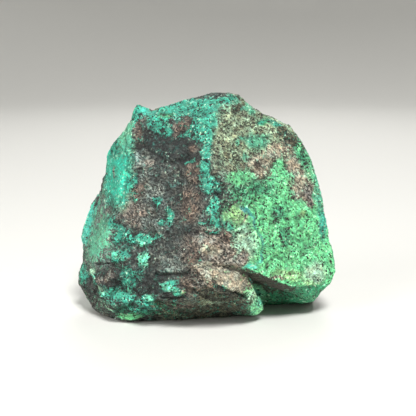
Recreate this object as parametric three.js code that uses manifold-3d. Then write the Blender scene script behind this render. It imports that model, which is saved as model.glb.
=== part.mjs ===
// A hand specimen of chrysocolla on copper ore: one broken stone, standing on its flat fracture.
// Units are millimetres. +Z is up, -Y is the front and +X is to the right. The origin is under the
// middle of the stone, on the surface that it stands on.
import * as THREE from "three";
import { ConvexGeometry } from "three/addons/geometries/ConvexGeometry.js";
import { ImprovedNoise } from "three/addons/math/ImprovedNoise.js";
import { TessellateModifier } from "three/addons/modifiers/TessellateModifier.js";
import { mergeVertices } from "three/addons/utils/BufferGeometryUtils.js";
import Module from "manifold-3d";

// Driving dimensions.
const FACET_EDGE = 4; // longest edge of the finished mesh
const TESSELLATION_ROUNDS = 30;
const SWELL_SIZE = 12; // from one gentle swell of a fracture face to the next
const SWELL_HEIGHT = 1.1;
const FOOT_HEIGHT = 2.5; // the swells die away over this height above the standing face
const GROUND_DEPTH = 20;
const GROUND_SIDE = 120;
const WELD = 1e-3; // vertices closer than this are one vertex

// The stone is built from the blocks that its fractures outline. Each block is the convex hull of
// its corners, and a corner is [x, y, z]. Corners below z = 0 are cut off by the ground.

// The dark left block, from the narrow left flank to the central ridge.
const leftBlock = [
  // top edge, from the left corner to the ridge
  [-19.8, 2.5, 48],
  [-18, -2, 50],
  [-10.5, 0.5, 51.8],
  [-6, 2, 53.7],
  [-3, 2, 54.1],
  [2, 2, 54.8],
  [0, -7.4, 50.2],
  // central ridge, downwards
  [0.2, -12.9, 40.6],
  [1, -18.1, 26.6],
  [-1.4, -19.3, 17.2],
  // far side of the ridge, inside the right block
  [5, -5.5, 49],
  [5, -10, 40],
  [5, -15, 27],
  [4, -16, 18],
  // crease between the left flank and the dark face, downwards
  [-19, -6, 42],
  [-18.5, -9.5, 33.5],
  [-24, -9.5, 23],
  [-27, -8, 14.5],
  // left outline, downwards
  [-22.3, 4, 44.6],
  [-25.6, 6, 40.5],
  [-29.8, 5, 27.3],
  [-33, 3, 18.5],
  [-33.2, 1.5, 7],
  [-31, 0, 3],
  [-29, -1.5, 0.8],
  // belly, where the front turns under
  [-29.5, -4, 7],
  [-24, -11, 5.5],
  [-14, -16, 8],
  [-1, -18.5, 9.5],
  // front edge of the standing face
  [-24.5, -5.5, 0],
  [-21, -8.3, 0],
  [-7, -7, 0],
  [10, -3.6, 0],
  // back
  [-14, 12, 46],
  [-2, 13, 50],
  [-24, 16, 24],
  [-27, 13, 7],
  [-20, 16, -1],
  [-4, 20, -1],
  [-6, 22, 14],
  [4, 20, 32],
];

// The green right block, a slab whose lower front edge overhangs.
const rightBlock = [
  // central ridge, downwards
  [0.5, -7.4, 50.3],
  [0.7, -12.9, 40.4],
  [1.5, -18.1, 26.4],
  [0, -18.2, 18],
  // far side of the ridge, inside the left block
  [-5, -5.5, 49],
  [-5, -10, 40],
  [-5, -14.5, 26],
  [-4, -16, 18],
  // lower edge of the overhang, to the right
  [8, -17.5, 16.7],
  [13, -15.5, 13.7],
  [20, -11, 10.2],
  [26, -6, 6.7],
  [27, -3, 3.9],
  // right outline, upwards
  [28.3, -4, 6.4],
  [30.5, -4, 8.7],
  [31.8, -3, 11.3],
  [32, -2, 13.6],
  [31, -1, 17],
  [29.1, 1, 24.7],
  [28, 2, 30],
  [25.6, 4, 35.4],
  [25, 4, 40.5],
  [23.6, 4, 43.3],
  [20.5, 4, 47],
  [13.2, 3, 50.8],
  [7.3, 2, 55],
  [3.5, 1.4, 55],
  [1.8, 1.8, 54.7],
  // back
  [-2, 13, 50],
  [12, 17, 42],
  [24, 16, 32],
  [10, 22, 22],
  [27, 15, 12],
  [26, 14, 4],
  [8, 4, 12],
];

// The tooth below the overhang. Its upper side is a ledge that slopes down to the tip.
const tooth = [
  // upper edge of the ledge, under the overhang
  [-4, -18, 17.5],
  [-0.5, -17.5, 17.3],
  [8, -15, 15],
  [10, -14, 11.4],
  [11.7, -11, 7],
  [13.3, -8, 4.8],
  // front edge of the ledge
  [-1.2, -20.5, 16.2],
  [1.8, -21.2, 13.7],
  [4.9, -19.8, 11.5],
  [7.8, -16, 8.1],
  [12, -9, 2],
  [13.8, -8, 3],
  [10.8, -3.4, 0],
  // inside the left block
  [-6, -16, 10],
  [-4, -6, 4],
  [8, -5, 1],
  [9, -5, 12],
];

// The foot under the overhang, set back from the front.
const rightFoot = [
  [11, -3, 13],
  [25, -2, 8],
  [27, -2.5, 4.2],
  [15.6, 5.8, -0.5],
  [27.8, 8.6, -0.5],
  [26, 14, -1],
  [12, 19, -1],
  [0, 19, -1],
  [0, 5, 0],
  [27, 14, 8],
  [10, 20, 14],
  [4, -4, 12],
];

// The back, a few broad fracture faces that run across both blocks and the foot.
const backSlab = [
  // outer side, downwards
  [-6, 12, 50.5],
  [2, 12.5, 50.5],
  [12, 17, 42],
  [24, 16, 32],
  [4, 21, 33],
  [10, 22.5, 21],
  [-7, 22.3, 14],
  [27, 15, 11],
  [-5, 20.5, -1],
  [12, 20, -1],
  [26, 14.5, -1],
  // inside the blocks
  [0, 4, 46],
  [8, 1, 14],
  [-6, 8, 20],
  [20, 8, 22],
  [20, 9, 2],
  [-4, 8, 2],
];

// The small spike on the upper left corner.
const spike = [
  [-17.5, 0, 52.8],
  [-18.5, -0.3, 51.4],
  [-19, -1, 49.3],
  [-15, -1, 50.5],
  [-14.2, 1.2, 51.3],
  [-19, 3, 48],
  [-14, 4, 48],
];

// Shallow hollows pressed into the outline, each along its own direction.
const hollows = [
  { centre: [-28, 6, 32], radius: 8, push: [1.6, 0, 0] }, // waist of the left outline
  { centre: [-33, 2, 14], radius: 5, push: [0.7, 0, 0] }, // notch above the lower left corner
  { centre: [14, 3, 51], radius: 8, push: [-0.5, 0, -0.7] }, // upper right outline
];

const kernel = await Module();
kernel.setup();

// A three.js geometry as a solid that can be joined and cut.
function solidOf(geometry) {
  const bare = new THREE.BufferGeometry();
  bare.setAttribute("position", geometry.getAttribute("position"));
  bare.setIndex(geometry.index);
  const welded = mergeVertices(bare, WELD);
  return new kernel.Manifold(
    new kernel.Mesh({
      numProp: 3,
      vertProperties: new Float32Array(welded.attributes.position.array),
      triVerts: new Uint32Array(welded.index.array),
    }),
  );
}

function geometryOf(solid) {
  const { vertProperties, triVerts } = solid.getMesh();
  const geometry = new THREE.BufferGeometry();
  geometry.setAttribute("position", new THREE.BufferAttribute(vertProperties, 3));
  geometry.setIndex(new THREE.BufferAttribute(triVerts, 1));
  return geometry;
}

function hullSolid(corners) {
  return solidOf(new ConvexGeometry(corners.map((corner) => new THREE.Vector3(...corner))));
}

// Everything below the surface that the stone stands on.
function groundSolid() {
  const slab = new THREE.BoxGeometry(GROUND_SIDE, GROUND_SIDE, GROUND_DEPTH);
  slab.translate(0, 0, -GROUND_DEPTH / 2);
  return solidOf(slab);
}

function joinedBlocks() {
  return [leftBlock, rightBlock, tooth, rightFoot, backSlab, spike]
    .map(hullSolid)
    .reduce((stone, block) => stone.add(block))
    .subtract(groundSolid());
}

// The flat facets as small triangles, so that the relief has vertices to move.
function tessellated(geometry) {
  const modifier = new TessellateModifier(FACET_EDGE, TESSELLATION_ROUNDS);
  return mergeVertices(modifier.modify(geometry), WELD);
}

// How far the swells move a point. Each direction reads its own part of the noise.
function swellAt(point, noise) {
  const at = point.clone().divideScalar(SWELL_SIZE);
  const along = (shift) => noise.noise(at.x + shift, at.y - shift, at.z + 2 * shift);
  return new THREE.Vector3(along(10), along(20), along(30)).multiplyScalar(SWELL_HEIGHT);
}

function hollowAt(point) {
  const moved = new THREE.Vector3();
  for (const { centre, radius, push } of hollows) {
    const near = 1 - point.distanceTo(new THREE.Vector3(...centre)) / radius;
    moved.addScaledVector(new THREE.Vector3(...push), THREE.MathUtils.smoothstep(near, 0, 1));
  }
  return moved;
}

// Bends the facets and their edges by swells and hollows. The standing face stays where it is.
function addRelief(geometry) {
  const noise = new ImprovedNoise();
  const position = geometry.getAttribute("position");
  const point = new THREE.Vector3();
  for (let i = 0; i < position.count; i++) {
    point.fromBufferAttribute(position, i);
    const move = swellAt(point, noise).add(hollowAt(point));
    point.addScaledVector(move, THREE.MathUtils.smoothstep(point.z, 0, FOOT_HEIGHT));
    position.setXYZ(i, point.x, point.y, point.z);
  }
  return geometry;
}

// Moves the stone sideways so that the origin is under the middle of it.
function centreOverOrigin(geometry) {
  geometry.computeBoundingBox();
  const middle = geometry.boundingBox.getCenter(new THREE.Vector3());
  geometry.translate(-middle.x, -middle.y, 0);
  geometry.computeVertexNormals();
  return geometry;
}

const stone = new THREE.Mesh(
  centreOverOrigin(addRelief(tessellated(geometryOf(joinedBlocks())))),
  new THREE.MeshStandardMaterial({ color: 0x4f7d6a, roughness: 0.8, metalness: 0 }),
);
stone.name = "chrysocolla_stone";

const specimen = new THREE.Group();
specimen.add(stone);
export default specimen;
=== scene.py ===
"""The finish of a hand specimen of chrysocolla on copper ore: one broken stone with a blue-green crust."""

import math

import bmesh
import bpy
import numpy as np
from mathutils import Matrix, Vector, noise


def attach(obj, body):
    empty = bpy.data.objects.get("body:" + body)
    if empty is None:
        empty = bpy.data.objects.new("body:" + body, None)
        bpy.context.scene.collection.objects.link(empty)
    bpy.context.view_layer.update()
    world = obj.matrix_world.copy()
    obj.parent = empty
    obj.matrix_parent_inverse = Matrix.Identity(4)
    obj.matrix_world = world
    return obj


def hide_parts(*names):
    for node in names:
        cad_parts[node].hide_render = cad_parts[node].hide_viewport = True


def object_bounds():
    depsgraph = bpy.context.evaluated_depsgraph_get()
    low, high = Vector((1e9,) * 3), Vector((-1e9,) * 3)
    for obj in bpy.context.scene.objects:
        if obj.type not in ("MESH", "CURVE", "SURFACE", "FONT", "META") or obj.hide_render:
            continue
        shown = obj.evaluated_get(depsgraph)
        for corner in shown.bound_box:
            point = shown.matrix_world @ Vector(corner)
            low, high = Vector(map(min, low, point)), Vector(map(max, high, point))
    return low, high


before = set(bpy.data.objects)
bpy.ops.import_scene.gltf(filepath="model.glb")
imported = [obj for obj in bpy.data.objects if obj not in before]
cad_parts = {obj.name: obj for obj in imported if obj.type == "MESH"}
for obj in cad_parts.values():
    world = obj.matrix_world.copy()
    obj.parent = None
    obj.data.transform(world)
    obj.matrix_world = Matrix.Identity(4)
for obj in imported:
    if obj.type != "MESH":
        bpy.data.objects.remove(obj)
cad_low, cad_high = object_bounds()

MM = 0.001
STONE = "chrysocolla_stone"

# Mesh sizes of the stone, in metres.
GRID = 0.39 * MM  # edge of the even mesh that carries the relief
GRID_SMOOTHING = 2  # rounds, which take away the seams between the blocks
WELD = 0.001 * MM
FOOT_HEIGHT = 0.6  # mm above the standing face over which the relief dies away
GRAIN_FOOT = (0.8, 1.6)  # mm above it where the first grains stand, and where all do


# ---------------------------------------------------------------------------------------------
# Colours of the minerals, as sRGB hex values.
# ---------------------------------------------------------------------------------------------
SLATE = "1e2624"  # tenorite-rich ore, nearly black
GRAPHITE = "444a46"
ASH = "6a756f"
UMBER = "4e5140"  # iron-stained ore
# painted shade: a darker copy of the umber ore, for the recess under the overhang
SHADED_UMBER = "3b372c"
RUST = "5f5349"
ROSE = "7d766d"
CLAY = "9d9886"
SAND = "9f9b8a"  # bare gangue on the ledge
OLIVE = "6d745e"
PEAT = "34402f"  # dark ore under the green crust

TURQUOISE = "3ba089"  # chrysocolla
LAGOON = "29aa90"
TEAL = "2b8c76"
DEEP = "2c574e"
MURKY = "42675d"
CYAN = "46b9a5"
FOAM = "60bf9f"
SEA = "55a586"
GREEN = "6bca8e"  # chrysocolla with malachite
FERN = "459a70"
APPLE = "8abd82"
MINT = "a9d2b4"
KHAKI = "93aa8d"
PINE = "1b6c4f"
IVY = "2f8a62"
BUD = "86dca6"
AZURE = "4f97a6"  # azurite


def linear(hex_colour, alpha=1.0):
    """An sRGB hex value as a linear RGBA colour."""
    channels = [int(hex_colour[i : i + 2], 16) / 255 for i in (0, 2, 4)]
    return [c / 12.92 if c <= 0.04045 else ((c + 0.055) / 1.055) ** 2.4 for c in channels] + [alpha]


# A finish is (colour of the bare ore, colour of the crust on it, share covered by crust, coarseness).
# The coarseness is the share of the fine relief that shows. Above 1 the surface is crumbly as well.
FINISHES = {
    "dark ore": (SLATE, DEEP, 0.20, 1.0),
    "grey ore": (GRAPHITE, MURKY, 0.16, 1.0),
    "pale ore": (ASH, MURKY, 0.12, 0.9),
    "smooth grey": (ASH, SEA, 0.45, 0.35),
    "rusty ore": (RUST, TEAL, 0.03, 0.9),
    "umber ore": (UMBER, TEAL, 0.12, 1.15),
    "rosy ore": (ROSE, ASH, 0.10, 0.8),
    "clay": (CLAY, MINT, 0.10, 0.5),
    "sand": (SAND, APPLE, 0.05, 0.34),
    "khaki": (OLIVE, KHAKI, 0.48, 0.8),
    "turquoise": (SLATE, TURQUOISE, 0.86, 1.0),
    "turquoise crumbs": (SLATE, TURQUOISE, 0.60, 1.4),
    "pale turquoise": (SLATE, FOAM, 0.84, 1.4),
    "teal": (SLATE, TEAL, 0.72, 0.9),
    "cyan": (GRAPHITE, CYAN, 0.97, 0.45),
    "sea green": (OLIVE, SEA, 0.88, 0.8),
    "smooth turquoise": (SEA, LAGOON, 0.95, 0.35),
    "smooth sea green": (ASH, SEA, 0.88, 0.35),
    "green": (PEAT, GREEN, 0.88, 0.8),
    "bright green": (GREEN, BUD, 0.90, 0.6),
    "dark green": (SLATE, FERN, 0.60, 0.9),
    "yellow green": (CLAY, APPLE, 0.80, 0.8),
    "mint": (OLIVE, MINT, 0.84, 0.9),
    # painted shade, as a darker copy of the umber ore
    "shaded umber": (SHADED_UMBER, PINE, 0.04, 0.4),
    "pine": (SLATE, PINE, 0.70, 1.3),
    "pine specks": (UMBER, PINE, 0.42, 1.3),
    "ivy": (PEAT, IVY, 0.86, 0.5),
    "azurite": (FERN, AZURE, 0.85, 0.5),
}

# Patches on the front, painted in this order. Each is (finish, x, z, half width, half height, turn),
# in millimetres as seen from the front, with the turn in degrees, anticlockwise.
PATCHES = [
    # the three great fields: dark left face, green right face, khaki above it
    ("grey ore", -8, 30, 40, 40, 0),
    ("green", 19, 20, 15, 19, 0),
    ("green", 27, 10, 8, 8, 0),
    ("khaki", 8, 46, 7.5, 8.5, 0),
    ("khaki", 17, 45, 7, 5, -25),
    ("dark green", 12.5, 33, 3.2, 1.8, -10),
    # dark face, downwards
    ("dark ore", -11, 44.5, 7.5, 3.4, -8),
    ("dark ore", -6, 43, 4, 3.5, 0),
    ("dark ore", -16, 43, 2, 3, 0),
    ("rusty ore", -16.5, 47.2, 1.4, 3.0, 10),
    ("pale ore", -15.6, 40.3, 2.4, 2.0, 0),
    ("rosy ore", -13.6, 39.6, 0.9, 0.8, 0),
    ("pale ore", -15.5, 36.2, 2.0, 1.4, 20),
    ("grey ore", -9, 36, 5, 4, 0),
    ("rusty ore", -16, 33, 2.2, 1.6, 20),
    ("rosy ore", -19, 31, 1.8, 2.2, 0),
    ("rosy ore", -16.6, 28, 3.8, 2.6, -10),
    ("pale ore", -12.5, 26, 2.5, 1.8, 0),
    ("pale ore", -12, 32.5, 2.5, 2.0, 0),
    ("rusty ore", -3.5, 31, 2.4, 3.6, 0),
    ("rusty ore", -2.6, 38.2, 1.9, 2.9, 0),
    ("rusty ore", -2.6, 43.6, 1.0, 0.9, 0),
    ("turquoise", -3.6, 41.0, 1.3, 0.35, 40),
    ("teal", -5, 46.6, 1.8, 1.0, 0),
    # painted shadow along the crack above the brown face
    ("dark ore", -4, 24, 2.5, 2.2, 0),
    ("grey ore", -7.5, 20, 4, 5, 0),
    ("pale ore", -8.5, 17, 3.0, 2.2, 0),
    # brown face above the overhang
    ("rosy ore", 2, 20.5, 7, 4.6, 0),
    ("rosy ore", 6.5, 18, 3, 3, 0),
    ("rusty ore", 4.6, 23.6, 2.6, 1.2, -15),
    ("rusty ore", -2.5, 19, 1.5, 3.5, 10),
    ("clay", 1.2, 20.6, 2.4, 1.2, -20),
    ("clay", -0.6, 17.6, 2.0, 0.9, -15),
    # left flank
    ("smooth grey", -27, 22, 5.5, 10, 12),
    ("smooth turquoise", -22.5, 41, 4.6, 7, 0),
    ("smooth turquoise", -21.5, 34, 3.6, 5, 0),
    ("smooth sea green", -19.6, 46, 1.7, 5, -15),
    ("smooth turquoise", -21, 36, 2.2, 4, 0),
    ("teal", -22.6, 42, 1.9, 2.2, 0),
    ("rosy ore", -22.3, 36.4, 0.5, 1.2, 0),
    ("turquoise crumbs", -17.4, 35.4, 1.4, 1.8, 0),
    # crust along the left outline, made brighter as a painted highlight on the rim
    ("cyan", -29.3, 24.5, 1.4, 9.5, -16),
    ("smooth turquoise", -26.8, 33.5, 1.3, 3.0, -12),
    ("smooth sea green", -26.8, 19, 1.8, 3.5, -18),
    ("smooth sea green", -24.6, 22, 1.0, 2.6, 0),
    ("teal", -22.4, 25.6, 1.7, 1.3, 0),
    ("teal", -20.6, 22.8, 1.6, 2.4, 0),
    # spike and top band
    ("turquoise", -17.2, 51.2, 2.0, 2.2, 0),
    ("teal", -16.6, 50.6, 1.6, 1.5, 0),
    ("cyan", -14.4, 51.2, 1.9, 0.6, 0),
    ("turquoise", -4, 52.2, 9, 2.4, 5),
    ("turquoise", -11, 48.6, 3.0, 2.0, -30),
    ("turquoise", -9, 47.2, 1.8, 1.2, 0),
    ("teal", -10.8, 48.2, 2.4, 1.4, -30),
    ("dark green", -9.6, 50.5, 1.5, 0.8, 0),
    ("turquoise", 0.2, 49, 2.6, 3.2, 0),
    ("turquoise crumbs", -0.6, 46.4, 2.6, 1.8, 0),
    ("turquoise crumbs", -4, 49, 2.4, 1.8, 0),
    ("rusty ore", -5.6, 48.2, 2.6, 1.3, 42),
    ("rosy ore", -6.9, 47.0, 0.9, 0.7, 42),
    ("teal", 5.2, 53.8, 2.6, 0.8, 0),
    ("umber ore", 7.8, 52.0, 1.6, 0.9, -20),
    ("grey ore", 3.0, 54.6, 1.8, 0.6, 0),
    ("sea green", 10.6, 51.4, 1.8, 1.2, -35),
    # central stripe
    ("turquoise", 0.2, 43, 1.2, 3.4, 0),
    ("turquoise", 0.2, 37, 1.3, 3.4, 0),
    ("turquoise crumbs", 2.0, 34.6, 1.6, 2.6, 0),
    ("dark ore", 2.4, 33.4, 1.2, 0.7, 0),
    ("turquoise", 2.1, 30.4, 1.6, 1.9, 0),
    ("turquoise crumbs", 3.2, 27.2, 2.8, 1.2, -10),
    ("turquoise", 6.1, 25.4, 0.9, 0.7, -30),
    ("turquoise", -0.4, 26.6, 0.7, 0.5, 0),
    ("turquoise crumbs", 1.2, 24.9, 1.5, 0.4, 10),
    # khaki zone and right shoulder
    ("sea green", 9.2, 45.2, 0.8, 0.7, 0),
    ("sea green", 7.8, 43.8, 0.9, 0.8, 0),
    ("sea green", 12.6, 44.2, 3.0, 1.8, 0),
    ("sea green", 9.6, 40.9, 0.7, 1.2, 0),
    ("ivy", 14.2, 48.5, 2.0, 1.0, -12),
    ("turquoise", 17.0, 47.8, 1.8, 0.7, -20),
    ("teal", 13.2, 48.6, 0.8, 0.6, 0),
    ("umber ore", 18.6, 46.0, 1.5, 1.0, -20),
    ("umber ore", 21.2, 43.4, 2.0, 2.2, 20),
    ("clay", 13.2, 38.6, 3.3, 2.5, 0),
    ("clay", 17.4, 41.6, 3.0, 1.9, 10),
    ("rusty ore", 12.4, 38.9, 1.2, 0.7, -40),
    ("clay", 21.8, 38, 1.8, 2.6, 0),
    ("clay", 23.8, 32.6, 2.3, 3.6, 22),
    ("rosy ore", 25.6, 30.4, 1.2, 2.6, 10),
    ("green", 18.2, 36.6, 1.5, 2.8, 0),
    ("dark green", 23.6, 40.2, 1.2, 2.8, 10),
    ("green", 23.3, 41.6, 0.8, 1.0, 0),
    ("sea green", 28.2, 31, 1.2, 5, 8),
    ("turquoise", 29.2, 23, 1.0, 4, 5),
    # green field
    ("green", 8, 36.5, 3, 1.5, 0),
    ("yellow green", 7.0, 28.6, 2.4, 1.5, 25),
    ("yellow green", 8.6, 26.8, 1.6, 1.2, 40),
    ("sand", 9.2, 27.2, 1.6, 0.25, 40),
    ("dark green", 8.2, 33.2, 1.8, 1.3, -30),
    ("dark green", 17.6, 27.4, 2.4, 1.8, 0),
    ("dark green", 19.2, 22, 1.2, 2.4, 0),
    ("yellow green", 20, 12.8, 4.5, 1.0, -14),
    ("yellow green", 23.6, 26, 0.9, 1.1, 0),
    ("mint", 9.2, 21.6, 2.5, 3.9, 8),
    ("rosy ore", 8.4, 18.6, 1.0, 1.6, 0),
    ("mint", 27.2, 11.6, 2.8, 2.6, 20),
    ("yellow green", 26.4, 9.4, 2.4, 0.8, -25),
    ("clay", 17.2, 12.4, 2.0, 0.3, -15),
    ("azurite", 9.3, 29.4, 1.2, 0.7, -20),
    ("cyan", 10.8, 15.9, 1.6, 0.6, -10),
    # ledge, tooth and the nub at its tip
    ("sand", 5.5, 13.4, 5.5, 3.0, -28),
    ("clay", 1.5, 13.6, 2.4, 1.8, -30),
    ("rusty ore", -2.2, 12.6, 3.4, 2.6, -15),
    ("rosy ore", -1.8, 13.4, 1.8, 1.2, -30),
    ("rusty ore", 2.2, 12.6, 1.8, 0.8, -45),
    # the next two are painted shadow under the ledge's lower edge
    ("dark ore", 4.6, 11.0, 2.8, 0.9, -38),
    ("dark ore", 8.2, 8.9, 1.8, 0.7, -38),
    ("turquoise", 4.1, 12.0, 0.35, 0.9, 10),
    ("turquoise", 8.3, 8.9, 1.4, 0.35, -30),
    ("mint", 11.4, 7.6, 1.3, 2.2, 10),
    ("bright green", 12.8, 4.6, 1.9, 2.8, 0),
    ("pale turquoise", 13.2, 5.4, 0.9, 1.0, 0),
    # lower left, where the crust is crumbly
    ("turquoise", -14.4, 22.2, 2.6, 1.6, 0),
    ("turquoise crumbs", -18.2, 22, 1.4, 2.0, 0),
    ("turquoise", -11.4, 22.8, 1.2, 0.6, 10),
    ("pale turquoise", -15.3, 20.6, 1.1, 0.9, 0),
    ("turquoise", -8.4, 28.2, 1.0, 2.0, 0),
    ("turquoise crumbs", -10.4, 26.2, 1.1, 0.7, 20),
    ("turquoise crumbs", -11.6, 31, 1.2, 1.0, 0),
    ("turquoise crumbs", -16.4, 31, 0.6, 0.6, 0),
    ("pale turquoise", -14.4, 17.6, 1.4, 1.6, -10),
    ("turquoise", -20.4, 17.6, 2.8, 1.2, 38),
    ("pale turquoise", -20.8, 17.8, 1.0, 0.8, 0),
    ("pale ore", -24.0, 15.4, 1.6, 0.9, -25),
    ("teal", -18, 12.4, 2.4, 3.0, 0),
    ("turquoise", -15.2, 14.4, 0.9, 1.4, 0),
    ("turquoise crumbs", -20.5, 8, 4.2, 2.2, -8),
    ("pale turquoise", -19.5, 8.4, 1.8, 0.9, 0),
    ("turquoise crumbs", -24.6, 7.6, 1.5, 1.9, 20),
    ("mint", -25.2, 8.4, 0.8, 0.9, 30),
    ("turquoise", -14.2, 7.6, 2.4, 1.5, 22),
    ("pale turquoise", -12.6, 8.8, 1.2, 0.6, 15),
    ("turquoise", -27.2, 10.2, 0.8, 1.6, 20),
    ("mint", -27.9, 12.0, 0.5, 1.5, -20),
    ("turquoise", -30.6, 9.2, 1.2, 2.8, 0),
    ("turquoise", -21.6, 8.4, 3.4, 1.1, -8),
    ("teal", -19.4, 12.4, 1.2, 2.8, 0),
    ("dark ore", -23.6, 11.6, 3.2, 2.2, 35),
    ("dark ore", -21.8, 12.6, 2.0, 1.6, -20),
    ("rosy ore", -23.4, 11.8, 2.1, 0.8, 30),
    ("dark ore", -12.6, 13.8, 2.9, 2.0, -10),
    ("dark ore", -15.0, 10.8, 2.0, 1.3, 20),
    ("dark ore", -11.2, 10.6, 1.1, 0.9, 0),
    ("dark ore", -28.8, 6.8, 1.6, 2.4, 10),
    ("turquoise", -8.4, 12.2, 2.0, 0.9, 15),
    ("turquoise", -7.0, 10.9, 1.7, 1.0, -35),
    ("pale turquoise", -8.4, 11.6, 1.5, 0.7, -25),
    ("sand", -5.4, 10.6, 0.6, 0.5, 0),
    # under the belly
    ("umber ore", 0, 4.2, 12, 4.6, 0),
    ("umber ore", 3, 8.4, 6, 2.6, -20),
    ("pine specks", -9, 4.4, 5, 3.4, 0),
    ("pine", -17.8, 3.8, 6.0, 1.8, 0),
    ("green", -18.6, 2.0, 3.0, 0.8, -3),
    ("mint", -24.0, 4.2, 1.6, 0.3, -40),
    # painted shadow along the crack below the crumbs
    ("dark ore", -9, 8.7, 3, 0.4, 0),
    ("turquoise crumbs", -15.5, 4.6, 3.4, 0.9, 8),
    ("khaki", 1.5, 6.4, 2.6, 1.0, -15),
    ("rusty ore", -4.5, 6.2, 2.4, 0.9, 10),
]

# Patches on the surfaces that face down, painted after the others. They are listed in the same way. The ivy
# green and the shaded umber are partly painted shade under the overhang.
UNDERSIDE_PATCHES = [
    # darker green, partly painted shade in the recess
    ("ivy", 22.0, 6, 9.5, 14, 0),
    # painted shade on the brown wall under the overhang
    ("shaded umber", 13.8, 10.6, 7.8, 4.3, -15),
    ("bright green", 12.9, 4.6, 1.9, 2.6, 0),
    ("pale turquoise", 13.3, 5.4, 0.9, 1.0, 0),
]

# The seam across the green field, as points [x, z] from the top down. Azurite shows in parts of it only.
SEAM = [
    (8.6, 30.2), (10.6, 28.4), (11.8, 26.0), (12.8, 23.2),
    (13.8, 20.6), (13.3, 18.0), (11.6, 16.4), (9.6, 16.2),
]
AZURITE = [
    [(10.4, 28.5), (11.4, 26.6), (12.0, 25.3)],
    [(12.9, 22.9), (13.7, 21.0)],
    [(13.6, 18.8), (13.0, 17.2)],
]
SEAM_HALF_WIDTH = 0.20
HALO_HALF_WIDTH = 0.34  # of the turquoise beside it
SEAM_SHARE = 0.60  # how far the seam hides what lies under it
SEAM_LINES = [(SEAM, "cyan", HALO_HALF_WIDTH)] + [(line, "azurite", SEAM_HALF_WIDTH) for line in AZURITE]

# Knobs that stand proud of the stone: (x, z, half width, half height, height).
KNOBS = [
    (-23.8, 11.2, 2.6, 2.2, 0.7),
    (-22.2, 12.6, 2.6, 1.8, 0.6),
    (-12.6, 13.8, 3.2, 2.2, 0.8),
    (-15.0, 10.8, 2.2, 1.5, 0.8),
    (-28.8, 6.8, 1.8, 2.4, 0.5),
    (-20.4, 17.6, 2.4, 1.4, 0.6),
    (-8.4, 12.0, 2.4, 1.2, 0.5),
    (-7.0, 10.9, 2.0, 1.2, 0.5),
    (-14.2, 7.8, 2.6, 1.5, 0.6),
    (-2.6, 38.2, 2.0, 3.0, 0.5),
    (-5.6, 48.2, 2.4, 1.4, 0.4),
    (13.2, 38.6, 3.4, 2.6, 0.35),
    (-8.4, 28.2, 1.4, 2.2, 0.3),
    (2.1, 30.4, 1.9, 2.1, 0.25),
    (-14.4, 22.0, 3.2, 1.8, 0.35),
]

# Cracks and small ledges: a line of points [x, z], its half width and its depth.
CRACKS = [
    ([(-11, 14.2), (-8, 14.3), (-5.4, 14.7), (-3.6, 15.8)], 0.40, 0.9),
    ([(-10.5, 8.9), (-8, 8.7), (-5, 9.0)], 0.45, 0.7),
    ([(0.4, 41), (1.4, 38.5), (3.0, 36.2), (4.2, 34.4), (3.4, 32.8), (2.0, 33.2)], 0.40, 0.8),
    ([(10.2, 30.0), (12.0, 30.2)], 0.35, 0.5),
    ([(24.6, 21.6), (25.8, 20.6)], 0.35, 0.6),
    ([(8.6, 30.2), (10.6, 28.4), (11.8, 26.0), (12.8, 23.2), (13.8, 20.6), (13.3, 18.0)], 0.45, 0.15),
    ([(1.6, 14.2), (4.4, 11.6), (7.0, 10.0), (10.0, 7.8)], 0.42, 1.3),
    ([(-3.4, 13.8), (-1.2, 12.6), (1.4, 11.0), (3.6, 9.4)], 0.40, 0.6),
    ([(-4.6, 11.8), (-2.0, 10.6), (0.6, 9.2)], 0.35, 0.5),
    ([(-19.6, 47), (-19, 42), (-18.6, 36.5), (-20.6, 30)], 0.45, 0.4),
    ([(-3.4, 24.8), (-0.4, 24.3), (3.0, 24.7)], 0.40, 0.5),
    ([(-17.6, 20.2), (-19.4, 18.9), (-22, 16.0)], 0.40, 0.5),
    ([(-16.5, 43.8), (-12, 42.0), (-7.4, 40.6), (-4.2, 41.4)], 0.45, 0.5),
    ([(-26.6, 14.2), (-24.6, 15.2), (-21.8, 14.8)], 0.40, 0.6),
    ([(-20.2, 11.6), (-19.6, 9.6), (-21.4, 8.6)], 0.40, 0.6),
]

# How much the warping bends a patch's border: (size of a bend in mm, how far it moves the border).
BORDER_WARPS = [(4.0, 0.8), (1.6, 0.6)]
BORDER_SOFTNESS = 0.50  # of a patch, as a share of its half width
WARP_SEED = 1  # noise.noise_vector starts from the clock unless it is given a seed
FACING_RAGGED = 0.35  # how ragged the front's patches end towards the sides

# Relief of the broken stone, in mm: (size of a lump, height).
LUMPS = [(11.0, 0.36), (3.6, 0.17)]
CHIPS = [(4.6, 0.12), (2.3, 0.10), (1.1, 0.13)]  # (size of a facet, tilt of its slope)
CHIP_WARP = (2.2, 0.7)  # bends the borders of the facets: (size of a bend, how far)
CREASES = [(3.4, 0.17), (1.0, 0.08)]  # sharp valleys between crumbs: (size, depth)
EDGE_ROUNDS = 14  # rounds of smoothing, which set how wide an edge is looked for
EDGE_CALM = 0.7  # share of the fine relief that is taken away on an edge
EDGE_HEIGHTS = (0.06, 0.30)  # mm above the smoothed surface where an edge begins, and is full
HOLLOW_SCALES = [(3, 2.0), (14, 0.9), (60, 0.45)]  # (rounds of smoothing, weight) of the painted shade in hollows and painted highlight on what stands proud
GRIT_SIZE = 0.8
GRIT_HEIGHT = 0.10
CRUST_SIZE = 1.1  # swellings of the crust
CRUST_HEIGHT = 0.09
KNOB_SIDE = (0.72, 1.08)  # where a knob's side begins and ends, as a share of its half width
FRONT = (-0.02, 0.24)  # how far a surface has to face the front for its patches to begin, and be full
UNDERSIDE = (0.08, 0.28)  # the same for surfaces that face down

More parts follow.
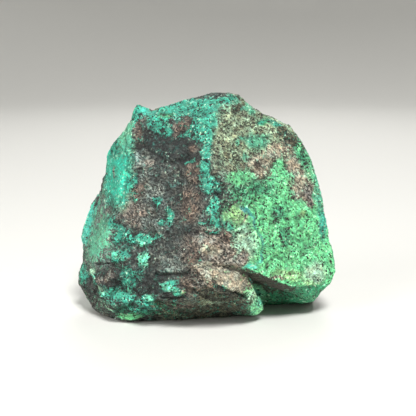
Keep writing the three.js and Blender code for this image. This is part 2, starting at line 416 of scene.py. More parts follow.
# Seeds of the noises. A list of layers uses its seed and the ones after it.
(COVER_SEED, GREEN_SEED, BROWN_SEED, MINT_SEED, SMOOTH_SEED) = range(21, 26)
LUMP_SEED, GRIT_SEED, CRUST_SEED, CREASE_SEED, FACING_SEED = 30, 41, 43, 50, 61
CHIP_SEED, CHIP_WARP_SEED = 1, 9


# ---------------------------------------------------------------------------------------------
# The stone's mesh
# ---------------------------------------------------------------------------------------------
def welded_copy(node):
    """A copy of a CAD node's mesh with its loose triangles joined."""
    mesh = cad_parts[node].data.copy()
    mesh.materials.clear()
    shape = bmesh.new()
    shape.from_mesh(mesh)
    bmesh.ops.remove_doubles(shape, verts=shape.verts, dist=WELD)
    shape.to_mesh(mesh)
    shape.free()
    return mesh


def evaluated_mesh(piece):
    """The mesh of a piece with its modifiers worked in."""
    graph = bpy.context.evaluated_depsgraph_get()
    return bpy.data.meshes.new_from_object(piece.evaluated_get(graph))


def added_piece(name, mesh):
    piece = bpy.data.objects.new(name, mesh)
    bpy.context.collection.objects.link(piece)
    return piece


def even_mesh(mesh):
    """The same shape as an even, closed mesh of small faces, with its sharpest seams smoothed."""
    piece = added_piece("blank", mesh)
    remesh = piece.modifiers.new("even faces", "REMESH")
    remesh.mode = "VOXEL"
    remesh.voxel_size = GRID
    remesh.adaptivity = 0
    smooth = piece.modifiers.new("seams", "SMOOTH")
    smooth.factor = 0.5
    smooth.iterations = GRID_SMOOTHING
    result = evaluated_mesh(piece)
    bpy.data.objects.remove(piece)
    return result


def read_vectors(mesh, what):
    """The vertex positions (co) or normals (normal) of a mesh, as an array."""
    values = np.empty(len(mesh.vertices) * 3)
    source = mesh.vertices if what == "co" else mesh.vertex_normals
    source.foreach_get("co" if what == "co" else "vector", values)
    return values.reshape(-1, 3)


def read_edges(mesh):
    edges = np.empty(len(mesh.edges) * 2, dtype=np.int32)
    mesh.edges.foreach_get("vertices", edges)
    return edges.reshape(-1, 2)


def smoothstep(value, low, high):
    t = np.clip((value - low) / (high - low), 0, 1)
    return t * t * (3 - 2 * t)


def noise_values(points, size, seed, octaves=3):
    """Fractal noise at points in mm, with lumps of the given size, from about -1 to 1."""
    shift = Vector((seed * 17.3, seed * 5.1, seed * 11.7))
    return np.array([noise.fractal(Vector(p) / size + shift, 1.0, 2.0, octaves) for p in points])


def noise_vectors(points, size, seed):
    shift = Vector((seed * 13.1, seed * 7.7, seed * 3.9))
    return np.array([noise.noise_vector(Vector(p) / size + shift) for p in points])


def crease_values(points, size, seed):
    """Rounded crumbs with sharp creases between them, from about -0.5 to 0.5."""
    shift = Vector((seed * 8.9, seed * 2.3, seed * 6.1))
    return np.array([abs(noise.noise(Vector(p) / size + shift)) * 2 - 0.5 for p in points])


def smoothed(points, edges, rounds):
    """Vertex positions after rounds in which each moves to the middle of its neighbours."""
    first, second = edges[:, 0], edges[:, 1]
    count = len(points)
    neighbours = np.bincount(first, minlength=count) + np.bincount(second, minlength=count)
    for _ in range(rounds):
        columns = [
            np.bincount(first, points[second, axis], count) + np.bincount(second, points[first, axis], count)
            for axis in range(3)
        ]
        points = np.stack(columns, axis=1) / neighbours[:, None]
    return points


def proudness(points, normals, edges, rounds):
    """How far in mm each vertex stands above the smoothed surface. It is negative in hollows."""
    return ((points - smoothed(points, edges, rounds)) * normals).sum(axis=1)


def chip_values(points, size, tilt, seed):
    """Height of small tilted facets that meet in sharp steps, as on a hackly fracture."""
    shift = Vector((seed * 3.3, seed * 9.1, seed * 1.7))
    heights = []
    for p in points:
        place = Vector(p) / size + shift
        centre = noise.voronoi(place)[1][0]
        lean = noise.cell_vector(centre * 7.0) * 2 - Vector((1, 1, 1))
        heights.append((place - centre).dot(lean))
    return np.array(heights) * size * tilt


def ellipse_distance(x, z, centre_x, centre_z, half_width, half_height, turn=0):
    """1 on the ellipse's border, less inside and more outside."""
    angle = math.radians(turn)
    across = (x - centre_x) * math.cos(angle) + (z - centre_z) * math.sin(angle)
    along = (z - centre_z) * math.cos(angle) - (x - centre_x) * math.sin(angle)
    return np.hypot(across / half_width, along / half_height)


def line_distance(x, z, line):
    """Distance to a line of points, as seen from the front."""
    nearest = np.full(len(x), 1e9)
    for (x0, z0), (x1, z1) in zip(line, line[1:]):
        length = math.hypot(x1 - x0, z1 - z0)
        share = np.clip(((x - x0) * (x1 - x0) + (z - z0) * (z1 - z0)) / length**2, 0, 1)
        nearest = np.minimum(nearest, np.hypot(x - x0 - share * (x1 - x0), z - z0 - share * (z1 - z0)))
    return nearest


def warped(points):
    """Points moved by noise, so that what is drawn on them gets a ragged border."""
    moved = points.copy()
    for seed, (size, reach) in enumerate(BORDER_WARPS):
        moved += noise_vectors(points, size, seed + 1) * reach
    return moved


def paint_hidden_sides(points):
    """Ore and crust by noise, for the sides that no patch reaches."""
    count = len(points)
    crusted = noise_values(points, 13, COVER_SEED, 4)
    greener = noise_values(points, 24, GREEN_SEED, 4)
    browner = noise_values(points, 9, BROWN_SEED, 3)
    ore = np.tile(linear(GRAPHITE)[:3], (count, 1))
    crust = np.tile(linear(TURQUOISE)[:3], (count, 1))
    for colour, weight in (
        (SLATE, smoothstep(-browner, 0.05, 0.45) * 0.6),
        (RUST, smoothstep(browner, 0.12, 0.35)),
        (ROSE, smoothstep(browner, 0.38, 0.6)),
    ):
        ore += weight[:, None] * (np.array(linear(colour)[:3]) - ore)
    for colour, weight in (
        (GREEN, smoothstep(greener, -0.15, 0.45)),
        (TEAL, smoothstep(-greener, 0.12, 0.4) * 0.6),
        (MINT, smoothstep(noise_values(points, 5, MINT_SEED, 2), 0.35, 0.6) * 0.6),
    ):
        crust += weight[:, None] * (np.array(linear(colour)[:3]) - crust)
    cover = 0.10 + 0.75 * smoothstep(crusted, -0.12, 0.22)
    roughness = 1 - 0.5 * smoothstep(noise_values(points, 14, SMOOTH_SEED, 2), 0.05, 0.35)
    return ore, crust, cover, roughness


def paint_front(points, ore, crust, cover, roughness, facing, underside):
    """Lays the patches and the seam over the front, in the order of the lists."""
    ragged = warped(points)
    x, z = ragged[:, 0], ragged[:, 2]

    def lay(finish, weight):
        ore_hex, crust_hex, share, relief = FINISHES[finish]
        ore[:] += weight[:, None] * (np.array(linear(ore_hex)[:3]) - ore)
        crust[:] += weight[:, None] * (np.array(linear(crust_hex)[:3]) - crust)
        cover[:] += weight * (share - cover)
        roughness[:] += weight * (relief - roughness)

    for patches, where in ((PATCHES, facing), (UNDERSIDE_PATCHES, facing * underside)):
        for finish, *ellipse in patches:
            distance = ellipse_distance(x, z, *ellipse)
            lay(finish, where * (1 - smoothstep(distance, 1 - BORDER_SOFTNESS, 1 + BORDER_SOFTNESS)))
    for line, finish, half_width in SEAM_LINES:
        distance = line_distance(x, z, line)
        lay(finish, SEAM_SHARE * facing * (1 - smoothstep(distance, half_width * 0.5, half_width * 1.6)))


def drawn_relief(points, facing):
    """Knobs and cracks that are drawn on the front."""
    ragged = warped(points)
    x, z = ragged[:, 0], ragged[:, 2]
    height = np.zeros(len(points))
    for centre_x, centre_z, half_width, half_height, rise in KNOBS:
        distance = ellipse_distance(x, z, centre_x, centre_z, half_width, half_height)
        height += rise * (1 - smoothstep(distance, *KNOB_SIDE))
    for line, half_width, depth in CRACKS:
        height -= depth * (1 - smoothstep(line_distance(x, z, line), 0, half_width * 1.5))
    return height * facing


def set_attribute(mesh, name, kind, values):
    attribute = mesh.attributes.new(name, kind, "POINT")
    attribute.data.foreach_set("color" if kind == "FLOAT_COLOR" else "value", np.ravel(values))


def with_alpha(colours):
    return np.hstack([colours, np.ones((len(colours), 1))])


def kept_inside(points, margin=0.0):
    """Points in metres, held inside the box of the CAD model."""
    low = np.array(cad_low) + margin
    high = np.array(cad_high) - margin
    low[2] = 0
    return np.clip(points, low, high)


def natural_relief(points, cover):
    """The broken surface: low lumps, and on them the fine part that is chips, creases, grit and crust."""
    lumps = sum(
        height * noise_values(points, size, LUMP_SEED + i, 4) for i, (size, height) in enumerate(LUMPS)
    )
    bend, reach = CHIP_WARP
    bent = points + noise_vectors(points, bend, CHIP_WARP_SEED) * reach
    chips = sum(chip_values(bent, size, tilt, CHIP_SEED + i) for i, (size, tilt) in enumerate(CHIPS))
    creases = sum(
        depth * crease_values(points, size, CREASE_SEED + i) for i, (size, depth) in enumerate(CREASES)
    )
    grit = GRIT_HEIGHT * noise_values(points, GRIT_SIZE, GRIT_SEED, 2)
    swelling = 0.4 + noise_values(points, CRUST_SIZE, CRUST_SEED, 2)
    crust = CRUST_HEIGHT * smoothstep(cover, 0.3, 0.8) * swelling
    return lumps, chips + creases + grit + crust


def finished_stone():
    """The stone with its relief, and with the colours of ore and crust kept on its vertices."""
    mesh = even_mesh(welded_copy(STONE))
    points = read_vectors(mesh, "co") / MM
    normals = read_vectors(mesh, "normal")
    edges = read_edges(mesh)
    facing = smoothstep(FACING_RAGGED * noise_values(points, 5, FACING_SEED, 4) - normals[:, 1], *FRONT)
    underside = smoothstep(-normals[:, 2], *UNDERSIDE)
    ore, crust, cover, roughness = paint_hidden_sides(points)
    paint_front(points, ore, crust, cover, roughness, facing, underside)

    # the fine relief dies away on the stone's own long edges, so that they stay crisp
    lumps, fine = natural_relief(points, cover)
    crisp = smoothstep(proudness(points, normals, edges, EDGE_ROUNDS), *EDGE_HEIGHTS)
    fine *= roughness * (1 - EDGE_CALM * crisp)
    height = lumps + fine + drawn_relief(points, facing)
    standing = smoothstep(points[:, 2], 0.05, FOOT_HEIGHT)
    moved = points + normals * (height * standing)[:, None]
    mesh.vertices.foreach_set("co", kept_inside(moved * MM).ravel())
    mesh.update()

    # painted shade lies in the hollows, and painted highlight on what stands proud
    normals = read_vectors(mesh, "normal")
    high = sum(share * proudness(moved, normals, edges, rounds) for rounds, share in HOLLOW_SCALES)
    set_attribute(mesh, "ore_colour", "FLOAT_COLOR", with_alpha(ore))
    set_attribute(mesh, "crust_colour", "FLOAT_COLOR", with_alpha(crust))
    set_attribute(mesh, "crust_cover", "FLOAT", cover)
    set_attribute(mesh, "high_or_low", "FLOAT", np.clip(0.5 + high, 0, 1))
    set_attribute(mesh, "coarseness", "FLOAT", roughness)
    room = smoothstep(points[:, 2], *GRAIN_FOOT) * smoothstep(roughness, 0.3, 0.9)
    set_attribute(mesh, "grain_room", "FLOAT", room)
    mesh.shade_smooth()
    return added_piece("stone", mesh)


# ---------------------------------------------------------------------------------------------
# Materials
# ---------------------------------------------------------------------------------------------
def add(tree, kind, settings=None, **links):
    """Adds a node. Settings are its properties. Links are its sockets by name or s0, s1, ... by place."""
    node = tree.nodes.new(kind)
    for key, value in (settings or {}).items():
        setattr(node, key, value)
    for key, value in links.items():
        place = key[1:]
        socket = node.inputs[int(place) if key[0] == "s" and place.isdigit() else key.replace("_", " ")]
        if isinstance(value, bpy.types.NodeSocket):
            tree.links.new(value, socket)
        else:
            socket.default_value = value
    return node


def new_material(name):
    material = bpy.data.materials.new(name)
    material.use_nodes = True
    tree = material.node_tree
    tree.nodes.clear()
    return material, tree


# Sizes of the pattern in the ore and crust, in mm.
GRAIN = 0.36  # mineral grains, coarser than the real 0.1 to 0.3 mm so that they show
FLECK = 0.30  # short flecks across the fibres, which run along them for FLECK_LENGTH times as far
FLECK_LENGTH = 3.2
SWIRL = 5.0  # from one bend of the fibres to the next
BLOTCH = 3.5
RAGGED = 1.6  # crumbs along the border between crust and ore, and the holes in the crust
# pale grains, partly a painted highlight that stands for the glints of small crystals
PALE_GRAIN_AND_GLINT = "c9dcc6"
LIGHTEST_GRAIN = 1.8  # times the ore's own colour
GRAIN_TONES = (0.6, 1.5)  # darkest and lightest, and so are all the tones below
# painted shade in the pits between grains
PIT_TONES = (0.12, 1.0)
FLECK_TONES = (0.32, 1.35)
BLOTCH_TONES = (0.84, 1.16)
HOLLOW_TONES = (0.45, 1.35)  # painted shade in the hollows, and painted highlight on what stands proud
CRUMB_TONES = (0.35, 1.6)
ORE_CONTRAST, CRUST_CONTRAST = 1.9, 0.62  # powers of the tone of the grains, pits and flecks
GRAIN_BY_GRAIN = 0.30  # how far single grains mix along the border of the crust
CRUMB = 1.3  # lumps of crumbly crust, each with its own tone
MOTTLE = 1.9  # from a warm spot to a cool one
WARM = (1.17, 0.99, 0.88)
COOL = (0.86, 1.02, 1.04)
BARE_GRAINS = 0.05  # share of the grains in the crust that are missing, so that ore shows


def crusted_share(tree, place, cover):
    """1 where crust lies and 0 on bare ore. The cover decides how much of a ragged noise the crust fills,
    and along the border each grain goes its own way."""
    ragged = add(tree, "ShaderNodeTexNoise", Vector=place, Scale=1 / (RAGGED * MM), Detail=4.0, Roughness=0.7)
    grains = add(tree, "ShaderNodeTexVoronoi", Vector=place, Scale=1 / (GRAIN * MM), Randomness=1.0)
    own_way = add(tree, "ShaderNodeVectorMath", {"operation": "DOT_PRODUCT"}, s0=grains.outputs["Color"],
                  s1=(0.0, GRAIN_BY_GRAIN, 0.0))
    threshold = add(tree, "ShaderNodeMapRange", s0=cover, s1=0.0, s2=1.0, s3=0.72 + GRAIN_BY_GRAIN / 2,
                    s4=0.28 + GRAIN_BY_GRAIN / 2)
    above = add(tree, "ShaderNodeMath", {"operation": "SUBTRACT"}, s0=ragged.outputs[0],
                s1=threshold.outputs[0])
    above = add(tree, "ShaderNodeMath", {"operation": "ADD"}, s0=above.outputs[0],
                s1=own_way.outputs["Value"])
    return add(tree, "ShaderNodeMapRange", s0=above.outputs[0], s1=-0.04, s2=0.04, s3=0.0, s4=1.0).outputs[0]


def crusted_ore():
    """Chrysocolla and malachite on copper ore, as broken: a matt, granular crust that thins out into
    crumbs over dark ore. Each mineral grain has its own tone and its own tilt. Missing grains leave pits
    where the ore shows, and painted shade darkens the pits, so the surface is a light ground with small dark
    points, and fibrous flecks run through it."""
    material, tree = new_material("crusted copper ore")
    place = add(tree, "ShaderNodeTexCoord").outputs["Object"]
    ore = add(tree, "ShaderNodeAttribute", {"attribute_name": "ore_colour"}).outputs["Color"]
    crust = add(tree, "ShaderNodeAttribute", {"attribute_name": "crust_colour"}).outputs["Color"]
    cover = add(tree, "ShaderNodeAttribute", {"attribute_name": "crust_cover"}).outputs["Fac"]
    relief = add(tree, "ShaderNodeAttribute", {"attribute_name": "high_or_low"}).outputs["Fac"]
    coarse = add(tree, "ShaderNodeAttribute", {"attribute_name": "coarseness"}).outputs["Fac"]
    crumbly = add(tree, "ShaderNodeMapRange", s0=coarse, s1=1.0, s2=1.3, s3=0.0, s4=1.0)
    coarse = add(tree, "ShaderNodeMath", {"operation": "MINIMUM"}, s0=coarse, s1=1.0).outputs[0]

    grains = add(tree, "ShaderNodeTexVoronoi", Vector=place, Scale=1 / (GRAIN * MM), Randomness=1.0)
    grain = add(tree, "ShaderNodeSeparateColor", s0=grains.outputs["Color"])
    bend = add(tree, "ShaderNodeTexNoise", Vector=place, Scale=1 / (SWIRL * MM), Detail=1.0)
    bend = add(tree, "ShaderNodeVectorMath", {"operation": "SCALE"}, s0=bend.outputs["Color"],
               Scale=SWIRL * MM)
    bent = add(tree, "ShaderNodeVectorMath", {"operation": "ADD"}, s0=place, s1=bend.outputs[0])
    fibres = add(tree, "ShaderNodeMapping", {"vector_type": "TEXTURE"}, Vector=bent.outputs[0],
                 Rotation=(0.3, 0.5, 0.2), Scale=(FLECK_LENGTH, 1.0, 1.0))
    flecks = add(tree, "ShaderNodeTexVoronoi", Vector=fibres.outputs[0], Scale=1 / (FLECK * MM),
                 Randomness=1.0)
    fleck = add(tree, "ShaderNodeSeparateColor", s0=flecks.outputs["Color"])
    blotch = add(tree, "ShaderNodeTexNoise", Vector=place, Scale=1 / (BLOTCH * MM), Detail=4.0, Roughness=0.6)

    # ore under the crust, which also shows where a grain of crust is missing
    crusted = crusted_share(tree, place, cover)
    missing = add(tree, "ShaderNodeMapRange", s0=grain.outputs[1], s1=BARE_GRAINS, s2=BARE_GRAINS + 0.04,
                  s3=0.0, s4=1.0)
    missing = add(tree, "ShaderNodeMix", s0=coarse, s2=1.0, s3=missing.outputs[0])
    crusted = add(tree, "ShaderNodeMath", {"operation": "MULTIPLY"}, s0=crusted, s1=missing.outputs[0])
    base = add(tree, "ShaderNodeMix", {"data_type": "RGBA"}, s0=crusted.outputs[0], s6=ore, s7=crust)
    # some grains are pale: partly real pale crystals, partly painted highlight for their glints
    pale_grain_and_glint = add(tree, "ShaderNodeMapRange", s0=grain.outputs[2], s1=0.88, s2=0.98, s3=0.0, s4=0.5)
    allowed = add(tree, "ShaderNodeMapRange", s0=crusted.outputs[0], s1=0.0, s2=1.0, s3=0.1, s4=1.0)
    pale_grain_and_glint = add(tree, "ShaderNodeMath", {"operation": "MULTIPLY"}, s0=pale_grain_and_glint.outputs[0],
                  s1=allowed.outputs[0])
    base = add(tree, "ShaderNodeMix", {"data_type": "RGBA"}, s0=pale_grain_and_glint.outputs[0], s6=base.outputs[2],
               s7=linear(PALE_GRAIN_AND_GLINT))

    # the fine tones are multiplied together, and they are weaker where the stone is smooth
    tone = add(tree, "ShaderNodeMapRange", s0=grain.outputs[0], s1=0.0, s2=1.0, s3=GRAIN_TONES[0],
               s4=GRAIN_TONES[1])
    for source, low, high, (darkest, lightest) in (
        # painted shade in the pits between grains
        (grain.outputs[1], 0.0, 0.30, PIT_TONES),
        (fleck.outputs[0], 0.0, 0.7, FLECK_TONES),
    ):
        share = add(tree, "ShaderNodeMapRange", s0=source, s1=low, s2=high, s3=darkest, s4=lightest)
        tone = add(tree, "ShaderNodeMath", {"operation": "MULTIPLY"}, s0=tone.outputs[0], s1=share.outputs[0])
    contrast = add(tree, "ShaderNodeMapRange", s0=crusted.outputs[0], s1=0.0, s2=1.0, s3=ORE_CONTRAST,
                   s4=CRUST_CONTRAST)
    tone = add(tree, "ShaderNodeMath", {"operation": "POWER"}, s0=tone.outputs[0], s1=contrast.outputs[0])
    tone = add(tree, "ShaderNodeMath", {"operation": "MINIMUM"}, s0=tone.outputs[0], s1=LIGHTEST_GRAIN)
    tone_share = add(tree, "ShaderNodeMapRange", s0=coarse, s1=0.3, s2=0.7, s3=0.55, s4=1.0)
    tone = add(tree, "ShaderNodeMix", s0=tone_share.outputs[0], s2=0.9, s3=tone.outputs[0])
    for source, low, high, (darkest, lightest) in (
        (blotch.outputs[0], 0.3, 0.7, BLOTCH_TONES),
        # painted shade in the hollows and painted highlight on what stands proud
        (relief, 0.05, 0.95, HOLLOW_TONES),
    ):
        share = add(tree, "ShaderNodeMapRange", s0=source, s1=low, s2=high, s3=darkest, s4=lightest)
        tone = add(tree, "ShaderNodeMath", {"operation": "MULTIPLY"}, s0=tone.outputs[0], s1=share.outputs[0])
    toned = add(tree, "ShaderNodeVectorMath", {"operation": "SCALE"}, s0=base.outputs[2],
                Scale=tone.outputs[0])

    # where the crust is crumbly, each crumb has its own tone
    crumbs = add(tree, "ShaderNodeTexVoronoi", Vector=bent.outputs[0], Scale=1 / (CRUMB * MM), Randomness=1.0)
    crumb = add(tree, "ShaderNodeSeparateColor", s0=crumbs.outputs["Color"])
    crumb_tone = add(tree, "ShaderNodeMapRange", s0=crumb.outputs[0], s1=0.0, s2=1.0, s3=CRUMB_TONES[0],
                     s4=CRUMB_TONES[1])
    crumb_tone = add(tree, "ShaderNodeMix", s0=crumbly.outputs[0], s2=1.0, s3=crumb_tone.outputs[0])
    toned = add(tree, "ShaderNodeVectorMath", {"operation": "SCALE"}, s0=toned.outputs[0],
                Scale=crumb_tone.outputs[0])

    # iron stain makes spots of it warmer, and copper salts make others cooler
    stain = add(tree, "ShaderNodeTexNoise", Vector=place, Scale=1 / (MOTTLE * MM), Detail=4.0, Roughness=0.75)
    stain = add(tree, "ShaderNodeMapRange", s0=stain.outputs[0], s1=0.36, s2=0.64, s3=0.0, s4=1.0)
    tint = add(tree, "ShaderNodeMix", {"data_type": "VECTOR"}, s0=stain.outputs[0], s4=COOL, s5=WARM)
    toned = add(tree, "ShaderNodeVectorMath", {"operation": "MULTIPLY"}, s0=toned.outputs[0],
                s1=tint.outputs[1])

    # the tilt of each grain and fleck, and the pits between them
    tilt = add(tree, "ShaderNodeVectorMath", {"operation": "SUBTRACT"}, s0=grains.outputs["Color"],
               s1=flecks.outputs["Color"])
    tilt_share = add(tree, "ShaderNodeMapRange", s0=coarse, s1=0.0, s2=1.0, s3=0.15, s4=0.75)
    tilt = add(tree, "ShaderNodeVectorMath", {"operation": "SCALE"}, s0=tilt.outputs[0],
               Scale=tilt_share.outputs[0])
    surface = add(tree, "ShaderNodeNewGeometry").outputs["Normal"]
    tilted = add(tree, "ShaderNodeVectorMath", {"operation": "ADD"}, s0=surface, s1=tilt.outputs[0])
    tilted = add(tree, "ShaderNodeVectorMath", {"operation": "NORMALIZE"}, s0=tilted.outputs[0])
    heights = add(tree, "ShaderNodeMath", {"operation": "ADD"}, s0=tone.outputs[0], s1=crusted.outputs[0])
    bump = add(tree, "ShaderNodeBump", Strength=0.7, Distance=0.2 * MM, Height=heights.outputs[0],
               Normal=tilted.outputs[0])

    shader = add(tree, "ShaderNodeBsdfPrincipled", Base_Color=toned.outputs[0], Roughness=0.7,
                 Normal=bump.outputs[0], IOR=1.55)
    add(tree, "ShaderNodeOutputMaterial", Surface=shader.outputs[0])
    return material


def broken_crystal(name, colour_attribute, darkest, lightest):
    """Single grains that stand on the stone, as broken: each has flat faces and one tone of its own."""
    material, tree = new_material(name)
    colour = add(tree, "ShaderNodeAttribute", {"attribute_name": colour_attribute}).outputs["Color"]
    chance = add(tree, "ShaderNodeAttribute", {"attribute_name": "grain_chance"}).outputs["Fac"]
    tone = add(tree, "ShaderNodeMapRange", s0=chance, s1=0.0, s2=1.0, s3=darkest, s4=lightest)
    toned = add(tree, "ShaderNodeVectorMath", {"operation": "SCALE"}, s0=colour, Scale=tone.outputs[0])
    shader = add(tree, "ShaderNodeBsdfPrincipled", Base_Color=toned.outputs[0], Roughness=0.75, IOR=1.55)
    add(tree, "ShaderNodeOutputMaterial", Surface=shader.outputs[0])
    return material


# ---------------------------------------------------------------------------------------------
# Grains that stand on the stone
# ---------------------------------------------------------------------------------------------
SUNK = 0.16  # how deep a grain's middle lies in the stone, as a share of its size
NARROWEST, WIDEST = 0.5, 1.1  # of a grain along each axis, as shares of its size
FULL_TURN = 6.283  # radians
CRUST_GRAIN = 0.42 * MM  # both are coarser than the real 0.1 to 0.3 mm, so that they show
ORE_GRAIN = 0.40 * MM
CRUST_GRAINS_PER_M2 = 4.6e6
ORE_GRAINS_PER_M2 = 4.0e6
CRUST_GRAIN_TONES = (0.3, 1.15)  # darkest and lightest, times the stone's own colour
ORE_GRAIN_TONES = (0.15, 1.0)


def grain_tree():
    """Grains spread over a stone, on its crust or on its bare ore. Each is a small double pyramid."""
    tree = bpy.data.node_groups.new("grains on a stone", "GeometryNodeTree")
    for name, kind in (
        ("Stone", "Geometry"), ("Grains per square metre", "Float"), ("Grain size", "Float"),
        ("On crust", "Float"), ("Seed", "Int"), ("Finish", "Material"),
    ):
        tree.interface.new_socket(name, in_out="INPUT", socket_type="NodeSocket" + kind)
    tree.interface.new_socket("Grains", in_out="OUTPUT", socket_type="NodeSocketGeometry")
    given = add(tree, "NodeGroupInput").outputs
    place = add(tree, "GeometryNodeInputPosition").outputs[0]

    # where they stand: on crust if "On crust" is 1, on ore if it is 0
    cover = add(tree, "GeometryNodeInputNamedAttribute", {"data_type": "FLOAT"},
                Name="crust_cover").outputs[0]
    room = add(tree, "GeometryNodeInputNamedAttribute", {"data_type": "FLOAT"},
               Name="grain_room").outputs[0]
    crusted = crusted_share(tree, place, cover)
    wrong = add(tree, "ShaderNodeMath", {"operation": "SUBTRACT"}, s0=crusted, s1=given["On crust"])
    wrong = add(tree, "ShaderNodeMath", {"operation": "ABSOLUTE"}, s0=wrong.outputs[0])
    right = add(tree, "ShaderNodeMath", {"operation": "SUBTRACT"}, s0=1.0, s1=wrong.outputs[0])
    density = add(tree, "ShaderNodeMath", {"operation": "MULTIPLY"}, s0=right.outputs[0], s1=room)
    density = add(tree, "ShaderNodeMath", {"operation": "MULTIPLY"}, s0=density.outputs[0],
                  s1=given["Grains per square metre"])
    spots = add(tree, "GeometryNodeDistributePointsOnFaces", Mesh=given["Stone"], Density=density.outputs[0],
                Seed=given["Seed"])

    # each grain has its own turn, proportions and tone
    turn = add(tree, "FunctionNodeRandomValue", {"data_type": "FLOAT_VECTOR"}, s0=(0, 0, 0),
               s1=(FULL_TURN,) * 3, Seed=given["Seed"])
    spread = add(tree, "FunctionNodeRandomValue", {"data_type": "FLOAT_VECTOR"}, s0=(NARROWEST,) * 3,
                 s1=(WIDEST,) * 3, Seed=given["Seed"])
    size = add(tree, "ShaderNodeVectorMath", {"operation": "SCALE"}, s0=spread.outputs[0],
               Scale=given["Grain size"])
    depth = add(tree, "ShaderNodeMath", {"operation": "MULTIPLY"}, s0=given["Grain size"], s1=-SUNK)
    inwards = add(tree, "ShaderNodeVectorMath", {"operation": "SCALE"}, s0=spots.outputs["Normal"],
                  Scale=depth.outputs[0])
    spots = add(tree, "GeometryNodeSetPosition", Geometry=spots.outputs["Points"], Offset=inwards.outputs[0])
    shape = add(tree, "GeometryNodeMeshUVSphere", Segments=4, Rings=2, Radius=0.5)
    grains = add(tree, "GeometryNodeInstanceOnPoints", Points=spots.outputs[0],
                 Instance=shape.outputs["Mesh"], Rotation=turn.outputs[0], Scale=size.outputs[0])
    chance = add(tree, "FunctionNodeRandomValue", {"data_type": "FLOAT"}, s2=0.0, s3=1.0, Seed=given["Seed"])
    grains = add(tree, "GeometryNodeStoreNamedAttribute", {"data_type": "FLOAT", "domain": "INSTANCE"},
                 Geometry=grains.outputs[0], Name="grain_chance", Value=chance.outputs[1])
    grains = add(tree, "GeometryNodeRealizeInstances", Geometry=grains.outputs[0])
    grains = add(tree, "GeometryNodeSetMaterial", Geometry=grains.outputs[0], Material=given["Finish"])
    add(tree, "NodeGroupOutput", Grains=grains.outputs[0])
    return tree


def grains_on(stone, tree, name, **inputs):
    """One piece of grains, as a plain mesh. Inputs are the tree's own, with _ for a space."""
    piece = added_piece(name, stone.data.copy())
    modifier = piece.modifiers.new("grains", "NODES")
    modifier.node_group = tree
    for socket in tree.interface.items_tree:
        value = inputs.get(socket.name.replace(" ", "_"))
        if value is not None:
            modifier[socket.identifier] = value
    mesh = evaluated_mesh(piece)
    piece.modifiers.clear()
    piece.data = mesh
    points = read_vectors(mesh, "co")
    mesh.vertices.foreach_set("co", kept_inside(points).ravel())
    mesh.update()
    mesh.shade_flat()
    return piece


# ---------------------------------------------------------------------------------------------
# Studio
# ---------------------------------------------------------------------------------------------
FLOOR_COLOUR = "d8d7d2"
FLOOR_RADIUS = 0.55
COVE_RADIUS = 0.35
WALL_HEIGHT = 0.75

LENS = 80
SENSOR = 36
CAMERA_DISTANCE = 231 * MM
CAMERA_HEIGHT_ANGLE = 12
AIM_OFFSET = Vector((0.6, -0.9, -0.8)) * MM  # from the middle of the stone
CLIP = (0.01, 10)

COVE_STEPS = 12
FLOOR_STEPS = 96
FLOOR_WELD = 1e-5
SKY_COLOUR = "e6e8ea"
SKY_STRENGTH = 0.10
# Softboxes: name, place from the middle of the stone in metres, size in metres, power in watts.
SOFTBOXES = [
    ("key", (0.08, -0.33, 0.46), 0.14, 4.4),
    ("fill", (-0.42, -0.30, 0.24), 0.30, 1.5),
    ("back", (0.05, 0.42, 0.40), 0.30, 1.5),
]


def studio_floor():
    """A round floor that curves up into a pale wall on all sides."""
    profile = [(0.0, 0.0), (FLOOR_RADIUS, 0.0)]
    for step in range(1, COVE_STEPS + 1):
        angle = math.radians(90 * step / COVE_STEPS)
        profile.append((FLOOR_RADIUS + COVE_RADIUS * math.sin(angle), COVE_RADIUS * (1 - math.cos(angle))))
    profile.append((FLOOR_RADIUS + COVE_RADIUS, WALL_HEIGHT))
    sweep = bmesh.new()
    line = [sweep.verts.new((radius, 0, height)) for radius, height in profile]
    edges = [sweep.edges.new(pair) for pair in zip(line, line[1:])]
    bmesh.ops.spin(sweep, geom=line + edges, cent=(0, 0, 0), axis=(0, 0, 1), angle=math.tau,
                   steps=FLOOR_STEPS)
    bmesh.ops.remove_doubles(sweep, verts=sweep.verts, dist=FLOOR_WELD)
    bmesh.ops.recalc_face_normals(sweep, faces=sweep.faces)
    mesh = bpy.data.meshes.new("studio_floor")
    sweep.to_mesh(mesh)
    sweep.free()
    mesh.shade_smooth()
    material, tree = new_material("matt paper")
    shader = add(tree, "ShaderNodeBsdfPrincipled", Base_Color=linear(FLOOR_COLOUR), Roughness=0.9)
    add(tree, "ShaderNodeOutputMaterial", Surface=shader.outputs[0])
    mesh.materials.append(material)
    floor = added_piece("studio_floor", mesh)
    return floor


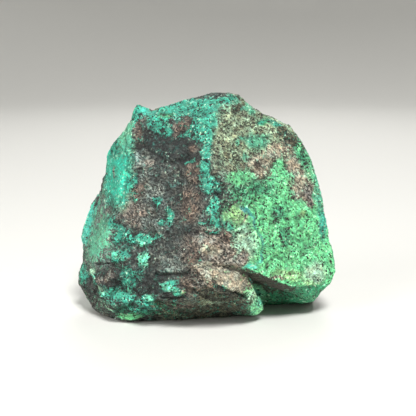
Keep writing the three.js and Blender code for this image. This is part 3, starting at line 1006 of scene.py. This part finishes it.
def soft_light(name, place, size, power, middle):
    """A square softbox that faces the stone."""
    light = bpy.data.lights.new(name, "AREA")
    light.shape = "SQUARE"
    light.size = size
    light.energy = power
    lamp = bpy.data.objects.new(name, light)
    lamp.location = middle + Vector(place)
    lamp.rotation_euler = (-Vector(place)).to_track_quat("-Z", "Y").to_euler()
    bpy.context.collection.objects.link(lamp)
    return lamp


def studio_world():
    world = bpy.data.worlds.new("studio")
    world.use_nodes = True
    background = world.node_tree.nodes["Background"]
    background.inputs["Color"].default_value = linear(SKY_COLOUR)
    background.inputs["Strength"].default_value = SKY_STRENGTH
    bpy.context.scene.world = world


def place_camera(middle):
    camera_data = bpy.data.cameras.new("camera")
    camera_data.lens = LENS
    camera_data.sensor_width = SENSOR
    camera_data.clip_start, camera_data.clip_end = CLIP
    camera = bpy.data.objects.new("camera", camera_data)
    angle = math.radians(CAMERA_HEIGHT_ANGLE)
    back = Vector((0, -math.cos(angle), math.sin(angle)))
    camera.location = middle + AIM_OFFSET + back * CAMERA_DISTANCE
    camera.rotation_euler = (-back).to_track_quat("-Z", "Y").to_euler()
    bpy.context.collection.objects.link(camera)
    bpy.context.scene.camera = camera


# ---------------------------------------------------------------------------------------------
# Putting it together
# ---------------------------------------------------------------------------------------------
middle = (cad_low + cad_high) / 2
place_camera(middle)
studio_floor()
studio_world()
for name, place, size, power in SOFTBOXES:
    soft_light(name, place, size, power, middle)
bpy.context.scene.view_settings.view_transform = "Standard"

noise.seed_set(WARP_SEED)
stone = finished_stone()
stone.data.materials.append(crusted_ore())
grains = grain_tree()
crust_grains = grains_on(
    stone, grains, "crust_grains", Grains_per_square_metre=CRUST_GRAINS_PER_M2, Grain_size=CRUST_GRAIN,
    On_crust=1.0, Seed=3, Finish=broken_crystal("chrysocolla grains", "crust_colour", *CRUST_GRAIN_TONES),
)
ore_grains = grains_on(
    stone, grains, "ore_grains", Grains_per_square_metre=ORE_GRAINS_PER_M2, Grain_size=ORE_GRAIN,
    On_crust=0.0, Seed=5, Finish=broken_crystal("copper ore grains", "ore_colour", *ORE_GRAIN_TONES),
)
for piece in (stone, crust_grains, ore_grains):
    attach(piece, "root")
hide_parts(STONE)
